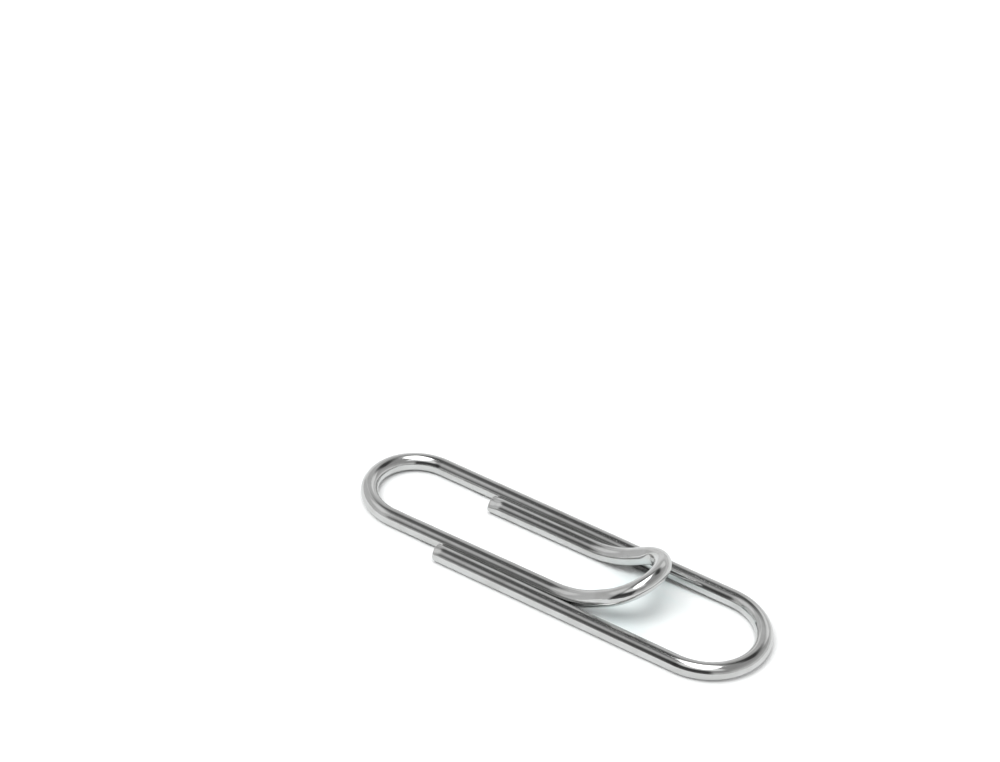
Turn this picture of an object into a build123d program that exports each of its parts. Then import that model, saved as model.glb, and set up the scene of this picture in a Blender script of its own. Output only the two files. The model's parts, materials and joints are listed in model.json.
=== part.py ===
from build123d import *
import os
from math import radians, tan

# Lipped paper clip, bent from one length of bright steel wire. Millimetres and degrees.
# +X runs to the large bow, +Y to the far leg, +Z up. The wire rests on Z = 0.
#
# Route of the wire: cut end, near outer leg, large bow, far outer leg, middle bow,
# near inner leg, up the lip, nose, down the lip, far inner leg, cut end.
# Opening the clip twists the wire at the apex of the middle bow, where it runs along Y.
# The outer loop and the tongue meet there, in one flat section across the wire.

# Sizes that can be set
wire_d = 1.0  # drawn wire
clip_length = 26.0  # over both end bows
clip_width = 7.6  # over both outer legs
leg_gap = 0.05  # air between neighbouring legs
outer_tail = 15.1  # near outer leg, from the large bow to its cut end
tongue_leg = 10.45  # near inner leg, from the middle bow to the foot of the lip
tongue_lean = 0.4  # turn of the tongue in plan, which opens a wedge at its cut end
inner_tail = 6.5  # far inner leg, from the foot of the lip to its cut end
lip_angle = 31.0  # slope of the raised lip
lip_bend_r = 5.2  # bend at the foot of the lip, on the wire's centre line
lip_run = 0.7  # straight wire between that bend and the nose
cut_round = 0.08  # rolled edge of a sheared end

# Sizes that follow
wire_r = wire_d / 2
leg_pitch = wire_d + leg_gap
large_bow_r = (clip_width - wire_d) / 2
large_bow_x = clip_length / 2 - wire_r - large_bow_r
middle_bow_r = large_bow_r - leg_pitch / 2
middle_bow_x = -clip_length / 2 + wire_r + middle_bow_r
bend_reach = lip_bend_r * tan(radians(lip_angle / 2))
wire_plane = Plane.XY.offset(wire_r)


def cut_rim(wire):
    # The sheared end is the flat face that looks along the legs.
    flats = wire.faces().filter_by(GeomType.PLANE)
    return flats.sort_by(lambda face: abs(face.normal_at().X))[-1].edges()


# Outer loop: near outer leg, large bow, far outer leg and half of the middle bow
with BuildPart() as outer_loop:
    with BuildLine(wire_plane) as outer_route:
        near_leg = Line((large_bow_x - outer_tail, -large_bow_r), (large_bow_x, -large_bow_r))
        large_bow = JernArc(near_leg @ 1, near_leg % 1, large_bow_r, 180)
        far_leg = Line(large_bow @ 1, (middle_bow_x, large_bow_r))
        far_half_bow = JernArc(far_leg @ 1, far_leg % 1, middle_bow_r, 90)
    with BuildSketch(Plane(near_leg @ 0, z_dir=near_leg % 0)):
        Circle(wire_r)
    sweep()
    fillet(cut_rim(outer_loop), cut_round)

# Directions of the tongue: along its legs, across them, and up the slope of its lip
along = Vector(1, 0, 0).rotate(Axis.Z, tongue_lean)
across = along.rotate(Axis.Z, 90)
uphill = along.rotate(Axis((0, 0, 0), across), -lip_angle)

# Tongue: the other half of the middle bow, near inner leg, raised lip with its nose, far inner leg
with BuildPart() as tongue:
    with BuildLine(wire_plane) as tongue_route:
        near_half_bow = JernArc(far_half_bow @ 1, far_half_bow % 1, middle_bow_r, 90 + tongue_lean)
        lip_foot = near_half_bow @ 1 + along * tongue_leg
        # The far inner leg passes the far outer leg at one leg pitch beside the foot of the lip.
        nose_width = across * ((large_bow_r - leg_pitch - lip_foot.Y) / across.Y)
        near_corner = lip_foot + along * bend_reach
        near_top = near_corner + uphill * (bend_reach + lip_run)
        near_side = FilletPolyline(near_half_bow @ 1, near_corner, near_top, radius=lip_bend_r)
        nose = TangentArc(near_top, near_top + nose_width, tangent=near_side % 1)
        FilletPolyline(
            nose @ 1,
            near_corner + nose_width,
            lip_foot + nose_width - along * inner_tail,
            radius=lip_bend_r,
        )
    with BuildSketch(Plane(near_half_bow @ 0, z_dir=near_half_bow % 0)):
        Circle(wire_r)
    sweep()
    fillet(cut_rim(tongue), cut_round)

# Labels and files
os.makedirs("parts", exist_ok=True)
outer_loop.part.label = "outer_loop"
export_step(outer_loop.part, "parts/outer_loop.step")
tongue.part.label = "tongue"
export_step(tongue.part, "parts/tongue.step")

# Each solid against its section times the length of its route
for name, piece, route in (("outer_loop", outer_loop, outer_route), ("tongue", tongue, tongue_route)):
    length = sum(edge.length for edge in route.edges())
    swept = Circle(wire_r).area * length
    print(f"{name}: wire {length:.2f} mm, volume {piece.part.volume:.3f} of {swept:.3f} mm3")
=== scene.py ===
import json
from math import cos, pi, radians, sin

import bmesh
import bpy
from mathutils import Matrix, Vector


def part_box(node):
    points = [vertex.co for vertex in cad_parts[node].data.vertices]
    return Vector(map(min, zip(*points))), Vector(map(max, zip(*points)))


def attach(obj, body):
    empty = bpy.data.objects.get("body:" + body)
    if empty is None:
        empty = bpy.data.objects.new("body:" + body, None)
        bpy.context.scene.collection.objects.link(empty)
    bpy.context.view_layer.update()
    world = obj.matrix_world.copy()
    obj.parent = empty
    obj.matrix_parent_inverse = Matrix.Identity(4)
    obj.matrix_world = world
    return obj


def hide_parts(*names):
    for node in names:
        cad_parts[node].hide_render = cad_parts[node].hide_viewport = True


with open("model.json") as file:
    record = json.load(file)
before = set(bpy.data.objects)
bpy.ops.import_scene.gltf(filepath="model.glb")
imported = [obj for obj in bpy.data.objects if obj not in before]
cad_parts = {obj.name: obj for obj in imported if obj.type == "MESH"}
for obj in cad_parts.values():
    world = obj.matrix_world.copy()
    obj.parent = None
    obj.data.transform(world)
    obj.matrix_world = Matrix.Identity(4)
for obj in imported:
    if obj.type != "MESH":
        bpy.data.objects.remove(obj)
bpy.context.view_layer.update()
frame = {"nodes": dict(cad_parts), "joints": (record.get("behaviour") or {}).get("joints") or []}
print("frame loaded:", sorted(frame["nodes"]))

# what the frame gives: wire radius, the twist point on the middle bow, and the two end bows
outerLow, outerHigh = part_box("outer_loop")
apex = Vector(frame["joints"][0]["pos_m"])
wireRadius = (outerHigh.z - outerLow.z) / 2
largeBowRadius = (outerHigh.y - outerLow.y) / 2 - wireRadius
largeBowCentre = Vector((outerHigh.x - wireRadius - largeBowRadius, 0, wireRadius))
middleBowRadius = largeBowRadius - apex.y
middleBowCentre = apex + Vector((middleBowRadius, 0, 0))
legPitch = 2 * apex.y  # from one leg to the leg beside it
farWay = Vector((1, 0, 0))
sideways = Vector((0, 1, 0))
upright = Vector((0, 0, 1))

# wire drawing: shared by both halves of the clip
wireMesh = {
    "ringPoints": 64,
    "legStep": 0.0005,  # between rings on a straight leg
    "bendStep": 2.5,  # degrees between rings in a bend
    "firstSteps": (0.15, 0.6),  # short steps next to the apex, so that the two halves shade as one
    "endRun": 0.0012,  # closer rings next to a cut end
    "endStep": 0.0001,
    "endGap": 0.0002,  # no ring this near the cut
    "cutReach": wireRadius * 2,  # what is nearer to the cut's middle belongs to the end
    "rollSegments": 5,
    # rings set into the cut face, width and rise in wire radii: burnished rim, then the torn middle
    "faceRings": ((0.10, -0.02), (0.18, 0.05), (0.20, -0.04)),
    "touching": 1e-7,
    "smoothBelow": 40.0,  # degrees
    "attribute": "drawnWire",
}


def editMesh():
    return bmesh.from_edit_mesh(bpy.context.object.data)


def startWire(name, direction):
    # a ring across the wire at the apex, with its place on the straight wire kept in an attribute
    bpy.ops.object.select_all(action="DESELECT")
    bpy.ops.mesh.primitive_circle_add(
        vertices=wireMesh["ringPoints"],
        radius=wireRadius,
        location=apex,
        rotation=direction.to_track_quat("Z", "X").to_euler(),
    )
    wire = bpy.context.object
    wire.name = name
    wire.data.name = name
    wire.data.materials.append(platedWire)
    wire.data.materials.append(shearedSteel)
    bpy.ops.object.transform_apply(location=True, rotation=True, scale=True)
    bpy.ops.object.mode_set(mode="EDIT")
    bpy.ops.mesh.select_mode(type="VERT")
    bpy.ops.mesh.select_all(action="SELECT")
    ring = editMesh()
    drawn = ring.verts.layers.float_vector.new(wireMesh["attribute"])
    for vert in ring.verts:
        vert[drawn] = Vector((vert.co.x - apex.x, vert.co.z - apex.z, 0))
    wire["run"] = 0.0
    return wire


def markRing(wire, step):
    # the newest ring is the selected one
    wire["run"] += step
    mesh = editMesh()
    drawn = mesh.verts.layers.float_vector[wireMesh["attribute"]]
    for vert in mesh.verts:
        if vert.select:
            vert[drawn].z = wire["run"]


def straight(wire, direction, length, step=wireMesh["legStep"]):
    rings = max(1, round(length / step))
    for ring in range(rings):
        bpy.ops.mesh.extrude_region_move(
            TRANSFORM_OT_translate={"value": direction * (length / rings)}
        )
        markRing(wire, length / rings)


def bend(wire, centre, axis, degrees, radius, shortSteps=()):
    rest = abs(degrees) - sum(shortSteps)
    rings = max(1, round(rest / wireMesh["bendStep"]))
    turn = 1 if degrees > 0 else -1
    for step in (*shortSteps, *[rest / rings] * rings):
        # spin turns clockwise about its axis
        bpy.ops.mesh.spin(steps=1, angle=-turn * radians(step), center=centre, axis=axis)
        markRing(wire, radians(step) * radius)


def ringCentre():
    chosen = [vert.co for vert in editMesh().verts if vert.select]
    return sum(chosen, Vector()) / len(chosen)


def selectNear(point, reach):
    bpy.ops.mesh.select_all(action="DESELECT")
    mesh = editMesh()
    for vert in mesh.verts:
        vert.select = (vert.co - point).length < reach
    mesh.select_flush(True)


def isOnCut(point, cutPoint, cutNormal):
    away = point - cutPoint
    return abs(away.dot(cutNormal)) < wireMesh["touching"] and away.length < wireMesh["cutReach"]


def shearedEnd(wire, direction, sizes):
    # close rings up to the cut, one long step across it, then the cut itself
    straight(wire, direction, wireMesh["endRun"] - wireMesh["endGap"], wireMesh["endStep"])
    straight(wire, direction, wireMesh["endGap"] * 2, wireMesh["endGap"] * 2)
    cutPoint = ringCentre() - direction * wireMesh["endGap"]
    slant = radians(sizes["slant"])
    cutNormal = direction * cos(slant) + Vector(sizes["shortSide"]).normalized() * sin(slant)
    selectNear(cutPoint, wireMesh["cutReach"])
    bpy.ops.mesh.bisect(plane_co=cutPoint, plane_no=cutNormal, use_fill=True, clear_outer=True)
    # rolled rim
    mesh = editMesh()
    for edge in mesh.edges:
        edge.select = all(isOnCut(vert.co, cutPoint, cutNormal) for vert in edge.verts)
    mesh.select_flush_mode()
    bpy.ops.mesh.bevel(
        offset=sizes["roll"], segments=wireMesh["rollSegments"], profile=0.5, affect="EDGES"
    )
    # bare face
    bpy.ops.mesh.select_all(action="DESELECT")
    mesh = editMesh()
    cutFace = min(mesh.faces, key=lambda face: (face.calc_center_median() - cutPoint).length)
    cutFace.select = True
    wire.active_material_index = 1
    bpy.ops.object.material_slot_assign()
    for width, rise in wireMesh["faceRings"]:
        bpy.ops.mesh.inset(thickness=wireRadius * width, depth=wireRadius * rise)
    # the blade's pinch
    bladeSide = Vector(sizes["bladeSide"]).normalized()
    selectNear(cutPoint + bladeSide * wireRadius, sizes["bladeWidth"])
    bpy.ops.transform.translate(
        value=-bladeSide * sizes["pinch"], use_proportional_edit=True,
        proportional_edit_falloff="SMOOTH", proportional_size=sizes["pinchReach"],
    )


def finishWire(wire):
    # close the section at the apex, merge, and point every face outwards
    bpy.ops.mesh.select_all(action="DESELECT")
    mesh = editMesh()
    for vert in mesh.verts:
        vert.select = vert.is_boundary
    mesh.select_flush(True)
    bpy.ops.mesh.edge_face_add()
    bpy.ops.mesh.select_all(action="SELECT")
    bpy.ops.mesh.remove_doubles(threshold=wireMesh["touching"])
    bpy.ops.mesh.normals_make_consistent(inside=False)
    bpy.ops.mesh.select_all(action="DESELECT")
    bpy.ops.object.mode_set(mode="OBJECT")
    bpy.ops.object.shade_smooth_by_angle(angle=radians(wireMesh["smoothBelow"]))
    print(wire.name, "is", len(wire.data.polygons), "faces,", round(wire["run"] * 1000, 2), "mm of wire")
    del wire["run"]


# nodes for the finishes and the studio


def addNode(tree, kind, place, **settings):
    node = tree.nodes.new(kind)
    node.location = place
    for key, value in settings.items():
        if hasattr(node, key):
            setattr(node, key, value)
        else:
            node.inputs[key.replace("_", " ")].default_value = value
    return node


def newFinish(name):
    finish = bpy.data.materials.new(name)
    finish.use_nodes = True
    return finish, finish.node_tree, finish.node_tree.nodes["Principled BSDF"]


def stretched(tree, source, scale, place):
    node = addNode(tree, "ShaderNodeMapping", place)
    node.inputs["Scale"].default_value = scale
    tree.links.new(source, node.inputs["Vector"])
    return node.outputs["Vector"]


def noise(tree, source, scale, detail, place):
    node = addNode(tree, "ShaderNodeTexNoise", place, Scale=scale, Detail=detail)
    tree.links.new(source, node.inputs["Vector"])
    return node.outputs["Fac"]


def spread(tree, source, low, high, toLow, toHigh, place, edge="LINEAR"):
    node = addNode(
        tree, "ShaderNodeMapRange", place, interpolation_type=edge,
        From_Min=low, From_Max=high, To_Min=toLow, To_Max=toHigh,
    )
    tree.links.new(source, node.inputs["Value"])
    return node.outputs["Result"]


def blend(tree, factor, first, second, place):
    node = addNode(tree, "ShaderNodeMix", place, data_type="RGBA")
    tree.links.new(factor, node.inputs["Factor"])
    for socket, colour in ((node.inputs[6], first), (node.inputs[7], second)):
        if isinstance(colour, tuple):
            socket.default_value = (*colour, 1)
        else:
            tree.links.new(colour, socket)
    return node.outputs[2]


def reckon(tree, first, operation, second, place, third=0):
    node = addNode(tree, "ShaderNodeMath", place, operation=operation)
    for socket, value in zip(node.inputs, (first, second, third)):
        if isinstance(value, (int, float)):
            socket.default_value = value
        else:
            tree.links.new(value, socket)
    return node.outputs[0]


def bump(tree, height, distance, below, place):
    node = addNode(tree, "ShaderNodeBump", place, Distance=distance)
    tree.links.new(height, node.inputs["Height"])
    if below:
        tree.links.new(below, node.inputs["Normal"])
    return node.outputs["Normal"]


def mirroring(tree, paths, place):
    return reckon(
        tree, paths.outputs["Is Glossy Ray"], "MAXIMUM", paths.outputs["Is Transmission Ray"], place
    )


# bright plated wire: die lines along it, a slow waver, faint tarnish and a few pits
wireFinish = {
    "bright": (0.72, 0.725, 0.72),
    "tarnish": (0.61, 0.61, 0.60),
    "pit": (0.36, 0.35, 0.33),
    "smooth": 0.04,  # roughness between the die lines
    "dull": 0.11,  # and on them
    "tarnishDull": 0.05,  # added by tarnish
    "dieLines": 30000,
    "dieStretch": (1, 1, 0.02),
    "dieEdge": (0.3, 0.7),
    "dieHeight": 8e-7,
    "waver": 1500,
    "waverStretch": (1, 1, 0.22),
    "waverHeight": 6e-6,
    "tarnishPatches": 700,
    "tarnishEdge": (0.42, 0.72),
    "pits": 9000,
    "pitEdge": (0.05, 0.16),
    "pitShare": 0.5,  # how much of its colour a pit shows
    "pitDepth": 1e-6,
}
platedWire, tree, shader = newFinish("platedWire")
shader.inputs["Metallic"].default_value = 1.0
place = addNode(tree, "ShaderNodeAttribute", (-1500, 0), attribute_name=wireMesh["attribute"])
onWire = place.outputs["Vector"]
lines = noise(
    tree, stretched(tree, onWire, wireFinish["dieStretch"], (-1300, 300)),
    wireFinish["dieLines"], 2, (-1100, 300),
)
waver = noise(
    tree, stretched(tree, onWire, wireFinish["waverStretch"], (-1300, 0)),
    wireFinish["waver"], 1, (-1100, 0),
)
tarnish = noise(tree, onWire, wireFinish["tarnishPatches"], 4, (-1100, -250))
pits = addNode(tree, "ShaderNodeTexVoronoi", (-1100, -500), Scale=wireFinish["pits"])
tree.links.new(onWire, pits.inputs["Vector"])
pitted = spread(tree, pits.outputs["Distance"], *wireFinish["pitEdge"], 1, 0, (-850, -500))
patchy = spread(tree, tarnish, *wireFinish["tarnishEdge"], 0, 1, (-850, -250))
plating = blend(tree, patchy, wireFinish["bright"], wireFinish["tarnish"], (-600, -200))
pitShare = spread(tree, pitted, 0, 1, 0, wireFinish["pitShare"], (-600, -500))
tree.links.new(
    blend(tree, pitShare, plating, wireFinish["pit"], (-350, -200)), shader.inputs["Base Color"]
)
lineGloss = spread(
    tree, lines, *wireFinish["dieEdge"], wireFinish["smooth"], wireFinish["dull"], (-600, 300)
)
gloss = reckon(tree, patchy, "MULTIPLY_ADD", wireFinish["tarnishDull"], (-350, 250), lineGloss)
tree.links.new(gloss, shader.inputs["Roughness"])
surface = bump(tree, waver, wireFinish["waverHeight"], None, (-600, 0))
surface = bump(tree, lines, wireFinish["dieHeight"], surface, (-450, 0))
surface = bump(tree, pitted, -wireFinish["pitDepth"], surface, (-300, 0))
tree.links.new(surface, shader.inputs["Normal"])

# bare steel where the wire was sheared: smeared and torn in patches
cutFinish = {
    "smeared": (0.68, 0.68, 0.67),
    "torn": (0.43, 0.43, 0.42),
    "tornEdge": (0.35, 0.65),
    "rough": (0.28, 0.50),
    "roughEdge": (0.3, 0.7),
    "grain": 14000,
    "grainStretch": (1, 1, 0.3),
    "grainHeight": 8e-6,
}
shearedSteel, tree, shader = newFinish("shearedSteel")
shader.inputs["Metallic"].default_value = 1.0
place = addNode(tree, "ShaderNodeTexCoord", (-1300, 0))
grain = noise(
    tree, stretched(tree, place.outputs["Object"], cutFinish["grainStretch"], (-1100, 0)),
    cutFinish["grain"], 5, (-900, 0),
)
torn = spread(tree, grain, *cutFinish["tornEdge"], 0, 1, (-650, 0))
tree.links.new(
    blend(tree, torn, cutFinish["smeared"], cutFinish["torn"], (-350, 100)), shader.inputs["Base Color"]
)
tree.links.new(
    spread(tree, grain, *cutFinish["roughEdge"], *cutFinish["rough"], (-350, -100)),
    shader.inputs["Roughness"],
)
tree.links.new(
    bump(tree, grain, cutFinish["grainHeight"], None, (-350, -300)), shader.inputs["Normal"]
)
print("finishes made")

# the half that lies flat: half of the middle bow, far leg, large bow, near leg, cut end
outerSizes = {
    "tail": 0.01533,  # near outer leg, from the large bow to its cut end
    "slant": 5.0,  # lean of the cut
    "shortSide": (0, -0.65, -0.76),
    "roll": 0.00008,  # rolled edge of the cut
    "bladeSide": (0, -0.30, 0.95),  # where the blade first pressed
    "bladeWidth": 0.00012,
    "pinch": 0.00005,  # how deep it pressed
    "pinchReach": 0.0004,
}
outerWire = startWire("outerWire", sideways)
bend(outerWire, middleBowCentre, upright, -90, middleBowRadius, wireMesh["firstSteps"])
straight(outerWire, farWay, largeBowCentre.x - middleBowCentre.x)
bend(outerWire, largeBowCentre, upright, -180, largeBowRadius)
straight(outerWire, -farWay, outerSizes["tail"] - wireMesh["endRun"])
shearedEnd(outerWire, -farWay, outerSizes)
finishWire(outerWire)

# the raised half: rest of the middle bow, near inner leg, lip with its nose, far inner leg, cut end
tongueSizes = {
    "leg": 0.01045,  # near inner leg, from the middle bow to the foot of the lip
    "lean": 0.4,  # turn in plan
    "tail": 0.0066,  # far inner leg, from the foot of the lip to its cut end
    "lipAngle": 31.0,
    "lipBendRadius": 0.0052,
    "lipRun": 0.0007,  # straight wire between the bend and the nose
    "slant": 3.0,
    "shortSide": (0, -0.65, -0.76),
    "roll": 0.00010,
    "bladeSide": (0, -0.30, 0.95),
    "bladeWidth": 0.00015,
    "pinch": 0.00014,
    "pinchReach": 0.0007,
}
lean = Matrix.Rotation(radians(tongueSizes["lean"]), 3, "Z")
along = lean @ farWay
across = lean @ sideways
uphill = Matrix.Rotation(-radians(tongueSizes["lipAngle"]), 3, across) @ along
legStart = middleBowCentre - across * middleBowRadius
lipFoot = legStart + along * tongueSizes["leg"]
noseWidth = (largeBowRadius - legPitch - lipFoot.y) / across.y
bendHeight = upright * tongueSizes["lipBendRadius"]

tongueWire = startWire("tongueWire", Vector((0, -1, 0)))
bend(
    tongueWire, middleBowCentre, upright, 90 + tongueSizes["lean"], middleBowRadius,
    wireMesh["firstSteps"],
)
straight(tongueWire, along, tongueSizes["leg"])
bend(
    tongueWire, lipFoot + bendHeight, across, -tongueSizes["lipAngle"],
    tongueSizes["lipBendRadius"],
)
straight(tongueWire, uphill, tongueSizes["lipRun"])
noseCentre = ringCentre() + across * noseWidth / 2
bend(tongueWire, noseCentre, uphill.cross(across), 180, noseWidth / 2)
straight(tongueWire, -uphill, tongueSizes["lipRun"])
bend(
    tongueWire, lipFoot + across * noseWidth + bendHeight, across, tongueSizes["lipAngle"],
    tongueSizes["lipBendRadius"],
)
straight(tongueWire, -along, tongueSizes["tail"] - wireMesh["endRun"])
shearedEnd(tongueWire, -along, tongueSizes)
finishWire(tongueWire)

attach(outerWire, "outer_loop")
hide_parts("outer_loop")
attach(tongueWire, "tongue")
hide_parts("tongue")
print("both halves ride")

# floor: pale paper with painted shade, dark where the wire closes over it and cool in the lip's shade, and
# lifted to white where it is seen or mirrored, with painted light against the wire; all from how much open
# sky each spot has, near it and further off
floorSizes = {
    "width": 3.0,
    "drop": 0.00001,
    "colour": (0.87, 0.88, 0.88),
    "paintedShadeCool": (0.79, 0.88, 0.88),  # painted shade: cooler paper in the lip's shade
    "paintedShadeDark": (0.03, 0.03, 0.03),  # painted shade, deep under the wire
    "near": 0.0012,  # reach of a wire on the floor
    "far": 0.0050,  # reach of the raised lip
    "skySamples": 16,
    "shut": (0.07, 0.20),  # open sky, far: painted shade dark at the first, clear at the second
    "closed": (0.02, 0.12),  # open sky, near: the same
    "tucked": 0.38,  # added to those under the lip
    "underLip": (0.70, 0.95),  # share of the near sky left further off: under the lip, clear of it
    "shaded": (0.66, 0.87),  # the same for the painted cool shade
    "lit": (0.45, 0.95),  # and for the lift, which drops there as painted shade
    "reached": (0.10, 0.50, 0.95),  # open sky, near: against the wire, beside it, clear of it
    "seen": (0.29, 0.17, 0.27),  # lift at those three: painted light against the wire, painted shade beside it
    "mirrored": 0.03,
}
bpy.ops.object.select_all(action="DESELECT")
bpy.ops.mesh.primitive_plane_add(size=floorSizes["width"], location=(0, 0, -floorSizes["drop"]))
floor = bpy.context.object
floor.name = "floor"
bpy.ops.object.transform_apply(location=True, rotation=True, scale=True)
floorPaperAndPaintedShade, tree, shader = newFinish("floorPaperAndPaintedShade")
shader.inputs["Roughness"].default_value = 1.0
shader.inputs["Specular IOR Level"].default_value = 0.0
skies = {}
for reach, row in (("near", -200), ("far", -450)):
    sky = addNode(
        tree, "ShaderNodeAmbientOcclusion", (-1500, row),
        samples=floorSizes["skySamples"], Distance=floorSizes[reach],
    )
    skies[reach] = sky.outputs["AO"]
nearSky, farSky = skies["near"], skies["far"]
share = reckon(tree, farSky, "DIVIDE", nearSky, (-1300, -350))
# painted shade: the paper goes dark where little sky is open near or far, and deeper under the lip
tucked = spread(tree, share, *floorSizes["underLip"], floorSizes["tucked"], 0, (-1300, 100))
opened = reckon(tree, nearSky, "SUBTRACT", tucked, (-1200, 100))
clearOfPaintedShade = spread(tree, opened, *floorSizes["closed"], 0, 1, (-1100, 100))
ajar = spread(tree, farSky, *floorSizes["shut"], 0, 1, (-1100, 250))
clearOfPaintedShade = reckon(tree, clearOfPaintedShade, "MULTIPLY", ajar, (-950, 200))
unshaded = spread(tree, share, *floorSizes["shaded"], 0, 1, (-1100, -250))
against, beside, away = floorSizes["reached"]
liftAgainst, liftBeside, liftAway = floorSizes["seen"]
# camera lift: painted light right against the wire, painted shade beside it, even white clear of it
liftWithPaintedContact = reckon(
    tree, spread(tree, nearSky, against, beside, liftAgainst, liftBeside, (-1200, -500)), "ADD",
    spread(tree, nearSky, beside, away, 0, liftAway - liftBeside, (-1200, -700)), (-1000, -500),
)
# painted shade: the paper turns cooler where the lip cuts off the far sky
paperAndPaintedCool = blend(tree, unshaded, floorSizes["paintedShadeCool"], floorSizes["colour"], (-500, 400))
tree.links.new(
    blend(tree, clearOfPaintedShade, floorSizes["paintedShadeDark"], paperAndPaintedCool, (-250, 300)), shader.inputs["Base Color"]
)
paths = addNode(tree, "ShaderNodeLightPath", (-1100, 450))
# painted shade: less camera lift under the lip
lit = spread(tree, share, *floorSizes["lit"], 0, 1, (-1100, -350))
seenLift = reckon(tree, lit, "MULTIPLY", liftWithPaintedContact, (-900, -350))
seenLift = reckon(tree, seenLift, "MULTIPLY", paths.outputs["Is Camera Ray"], (-600, -350))
# mirrored lift, less where the far sky is closed: painted shade in what the wire mirrors
mirroredLift = reckon(tree, farSky, "MULTIPLY", floorSizes["mirrored"], (-900, -50))
mirroredLift = reckon(
    tree, mirroredLift, "MULTIPLY", mirroring(tree, paths, (-900, 100)), (-750, 0)
)
lift = reckon(tree, seenLift, "ADD", mirroredLift, (-450, -150))
tree.links.new(
    reckon(tree, lift, "MULTIPLY", clearOfPaintedShade, (-300, 0)), shader.inputs["Emission Strength"]
)
shader.inputs["Emission Color"].default_value = (1, 1, 1, 1)
floor.data.materials.append(floorPaperAndPaintedShade)

# camera at the photograph's viewing angle
photoView = {
    "azimuth": 27.73,
    "elevation": 37.26,
    "tilt": 5.97,  # the camera leans to one side
    "distance": 0.194790,
    "aim": Vector((-0.011725, 0.012855, 0)),
    "lens": 117.0,
    "sensor": 36.0,
    "nearest": 0.001,
}
turn = Matrix.Rotation(radians(photoView["azimuth"]), 3, "Z")
facing = turn @ Matrix.Rotation(radians(90 - photoView["elevation"]), 3, "X")
facing = facing @ Matrix.Rotation(radians(photoView["tilt"]), 3, "Z")
bpy.ops.object.camera_add(
    location=photoView["aim"] + facing @ Vector((0, 0, photoView["distance"])),
    rotation=facing.to_euler(),
)
camera = bpy.context.object
camera.data.lens = photoView["lens"]
camera.data.sensor_width = photoView["sensor"]
camera.data.clip_start = photoView["nearest"]
bpy.context.scene.camera = camera

# overhead softbox in line with the camera, and a broad key lamp to the camera's left that the wire
# doesn't mirror; places and sizes are shares of their height
lampSizes = {
    "height": 0.6,
    "softbox": {"right": 0.03, "back": -0.08, "width": 0.52, "depth": 1.06, "radiance": 2.0},
    "key": {"right": -0.38, "back": -0.425, "width": 0.96, "depth": 0.60, "radiance": 7.0},
}
for name in ("softbox", "key"):
    glow = lampSizes[name]
    bpy.ops.object.light_add(
        type="AREA",
        location=turn @ Vector((glow["right"], glow["back"], 1)) * lampSizes["height"],
        rotation=(0, 0, radians(photoView["azimuth"])),
    )
    lamp = bpy.context.object
    lamp.name = name
    lamp.data.shape = "ELLIPSE"
    lamp.data.size = glow["width"] * lampSizes["height"]
    lamp.data.size_y = glow["depth"] * lampSizes["height"]
    lampArea = pi / 4 * lamp.data.size * lamp.data.size_y
    lamp.data.energy = glow["radiance"] * pi * lampArea
    lamp.visible_glossy = name == "softbox"

# the studio around: pale cards and dark flags with soft edges on a dim surround
# each is azimuth (from straight away, to the right), half width, elevation, half height, in degrees, level
studio = {
    "surround": 0.34,
    "given": 0.5,  # share of what is seen of it that lights the table
    "softEdge": 10.0,
    "cards": (
        (0, 400, 0, 19, 0.24),  # pale table all round
        (-77, 46, 39, 20, 0.21),  # left
        (-84, 24, 59, 23, 0.24),  # above it
        (-14, 21, 20, 25, 0.19),  # beyond it
        (24, 16, 32, 9, 0.44),  # far right
        (72, 62, 15, 21, 0.10),  # right
        (6, 9, 63, 12, 2.2),  # far end of the softbox
        (184, 49, 63, 17, 0.58),  # its spill over the camera
    ),
    "flags": (
        (196, 32, 18, 22, 0.84),  # the camera
        (-133, 7, 34, 20, 0.62),  # left of it
        (29, 38, 53, 8, 0.83),  # far side, above the card
        (-21, 19, 61, 10, 0.62),  # and left of that
        (-59, 45, 70, 4, 0.81),  # under the softbox
    ),
}


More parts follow.
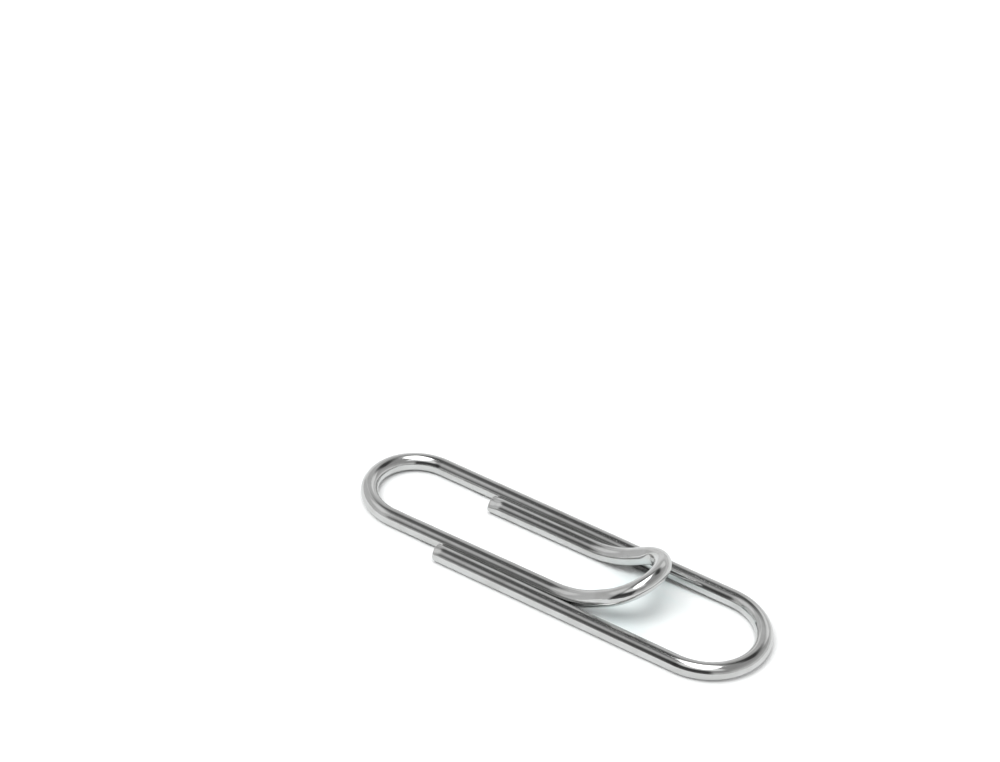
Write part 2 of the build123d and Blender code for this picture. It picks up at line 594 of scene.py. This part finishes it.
def softCard(tree, azimuth, elevation, card, row):
    middleAzimuth, halfWidth, middleElevation, halfHeight, strength = card
    side = reckon(tree, azimuth, "SUBTRACT", middleAzimuth, (-1050, row))
    side = reckon(tree, side, "WRAP", 180, (-900, row), -180)
    side = reckon(tree, side, "ABSOLUTE", 0, (-750, row))
    rise = reckon(tree, elevation, "SUBTRACT", middleElevation, (-900, row - 60))
    rise = reckon(tree, rise, "ABSOLUTE", 0, (-750, row - 60))
    edge = studio["softEdge"] / 2
    wide = spread(
        tree, side, halfWidth - edge, halfWidth + edge, 1, 0, (-600, row), "SMOOTHSTEP"
    )
    high = spread(
        tree, rise, halfHeight - edge, halfHeight + edge, 1, 0, (-600, row - 60), "SMOOTHSTEP"
    )
    inside = reckon(tree, wide, "MULTIPLY", high, (-450, row))
    return reckon(tree, inside, "MULTIPLY", strength, (-300, row))


world = bpy.data.worlds.new("studio")
bpy.context.scene.world = world
world.use_nodes = True
tree = world.node_tree
looking = addNode(tree, "ShaderNodeTexCoord", (-1900, 0))
turned = addNode(
    tree, "ShaderNodeVectorRotate", (-1700, 0), rotation_type="Z_AXIS", Angle=-radians(photoView["azimuth"])
)
split = addNode(tree, "ShaderNodeSeparateXYZ", (-1500, 0))
tree.links.new(looking.outputs["Generated"], turned.inputs["Vector"])
tree.links.new(turned.outputs[0], split.inputs[0])
azimuth = reckon(tree, split.outputs[0], "ARCTAN2", split.outputs[1], (-1350, 80))
azimuth = reckon(tree, azimuth, "DEGREES", 0, (-1200, 80))
elevation = reckon(tree, split.outputs[2], "ARCSINE", 0, (-1350, -80))
elevation = reckon(tree, elevation, "DEGREES", 0, (-1200, -80))
level = studio["surround"]
for row, card in enumerate(studio["cards"]):
    glow = softCard(tree, azimuth, elevation, card, 900 - 150 * row)
    level = reckon(tree, level, "ADD", glow, (0, 900 - 150 * row))
for row, flag in enumerate(studio["flags"]):
    shade = softCard(tree, azimuth, elevation, flag, -300 - 150 * row)
    let = reckon(tree, 1, "SUBTRACT", shade, (-150, -300 - 150 * row))
    level = reckon(tree, level, "MULTIPLY", let, (0, -300 - 150 * row))
paths = addNode(tree, "ShaderNodeLightPath", (0, 1100))
seen = mirroring(tree, paths, (200, 1100))
seen = reckon(tree, seen, "MAXIMUM", paths.outputs["Is Camera Ray"], (350, 1100))
given = spread(tree, seen, 0, 1, studio["given"], 1, (500, 1100))
level = reckon(tree, level, "MULTIPLY", given, (650, 0))
background = tree.nodes["Background"]
background.inputs["Color"].default_value = (1, 1, 1, 1)
tree.links.new(level, background.inputs["Strength"])

bpy.context.scene.view_settings.view_transform = "Standard"
print("stage set")
